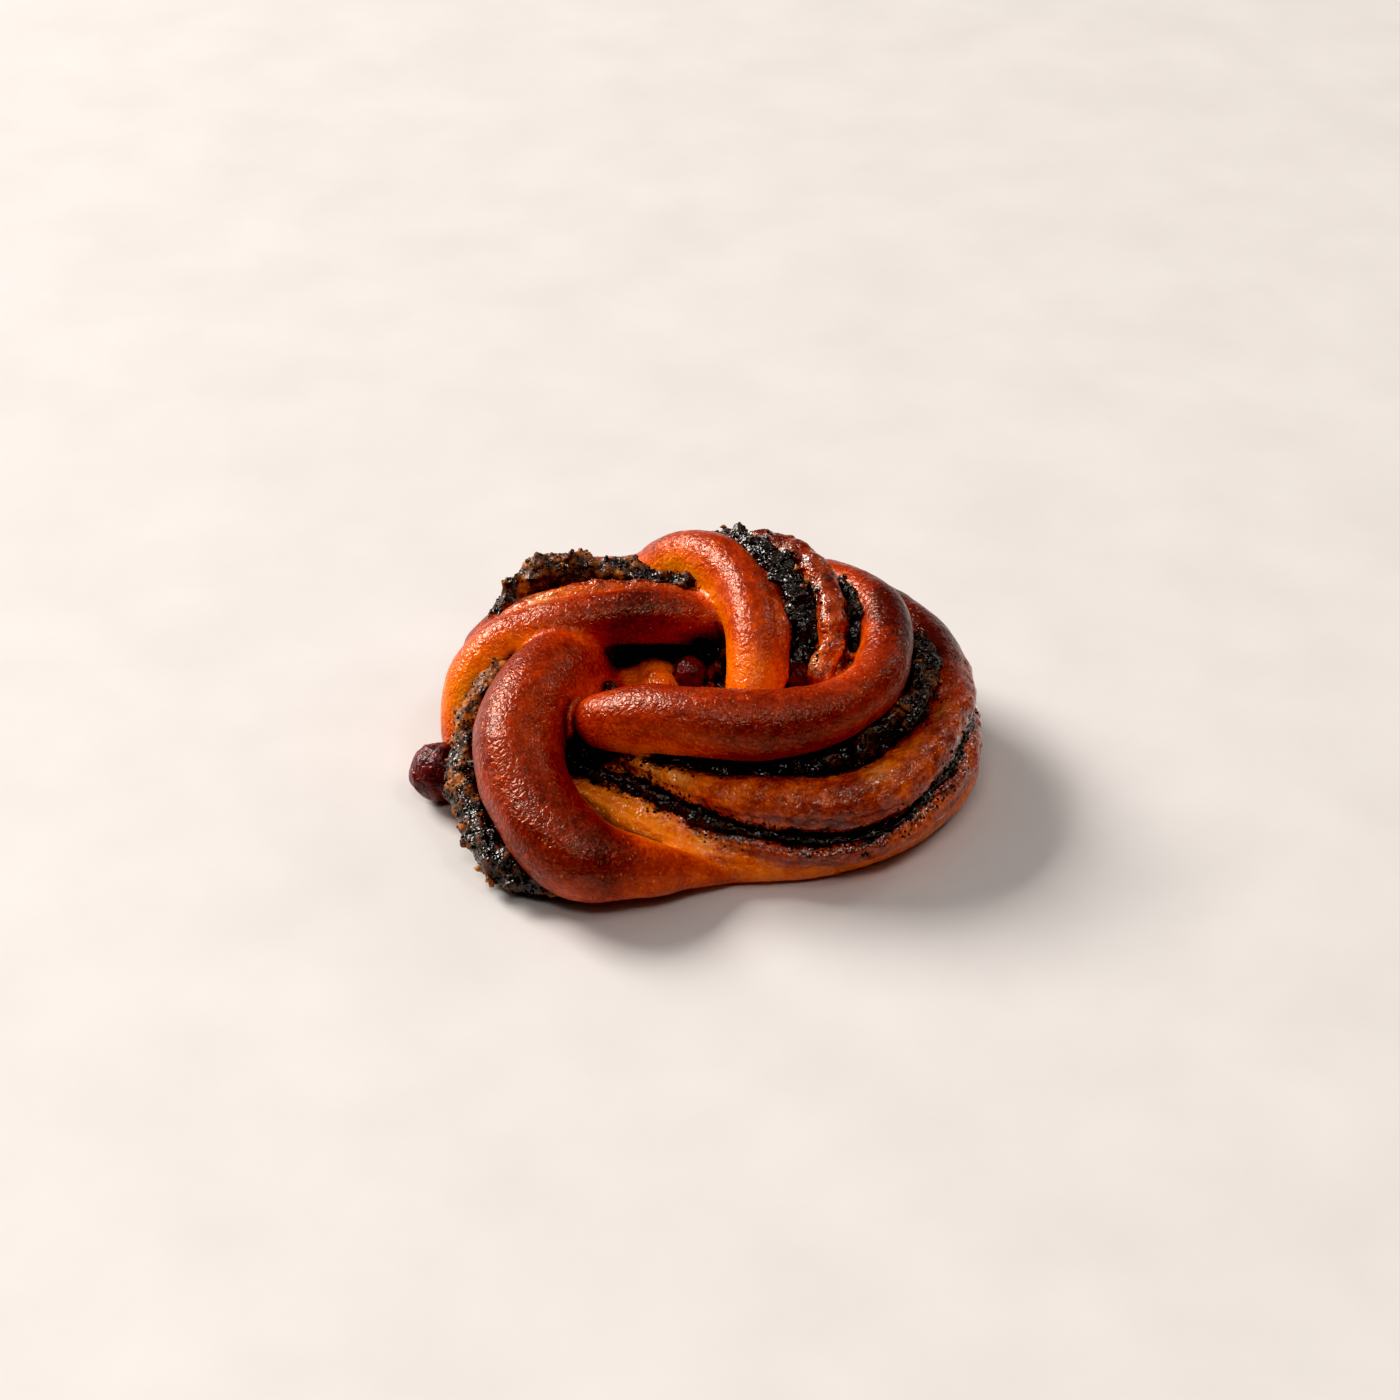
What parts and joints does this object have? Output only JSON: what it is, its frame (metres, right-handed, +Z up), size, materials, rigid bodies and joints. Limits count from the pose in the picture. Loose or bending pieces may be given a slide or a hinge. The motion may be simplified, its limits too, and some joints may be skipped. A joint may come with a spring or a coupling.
{
  "type": "poppy seed bun",
  "caption": "Round knotted yeast bun with glossy brown rolls woven over layered cut sides that show dark poppy seed filling and baked cherries; rests on its flat base.",
  "frame": {"origin": "middle of the dough's flat base, on the surface that the bun rests on", "axes": "+Z up; -Y is the side of the long front roll; +X to the right of it, away from the cherry that lies beside the bun"},
  "size_m": [0.1214, 0.106, 0.0453],
  "materials": {
    "crust": "egg-washed baked crust, dark red-brown on the crowns and golden in the folds",
    "poppy_filling": "moist dark paste of ground poppy seeds, lumpy, with specks of crumb",
    "cherry": "baked, wrinkled, glossy dark red skin"
  },
  "bodies": {
    "root": {"dough": "crust", "filling": "poppy_filling", "cherry_side": "cherry", "cherry_pit": "cherry", "cherry_fold": "cherry"}
  },
  "joints": []
}
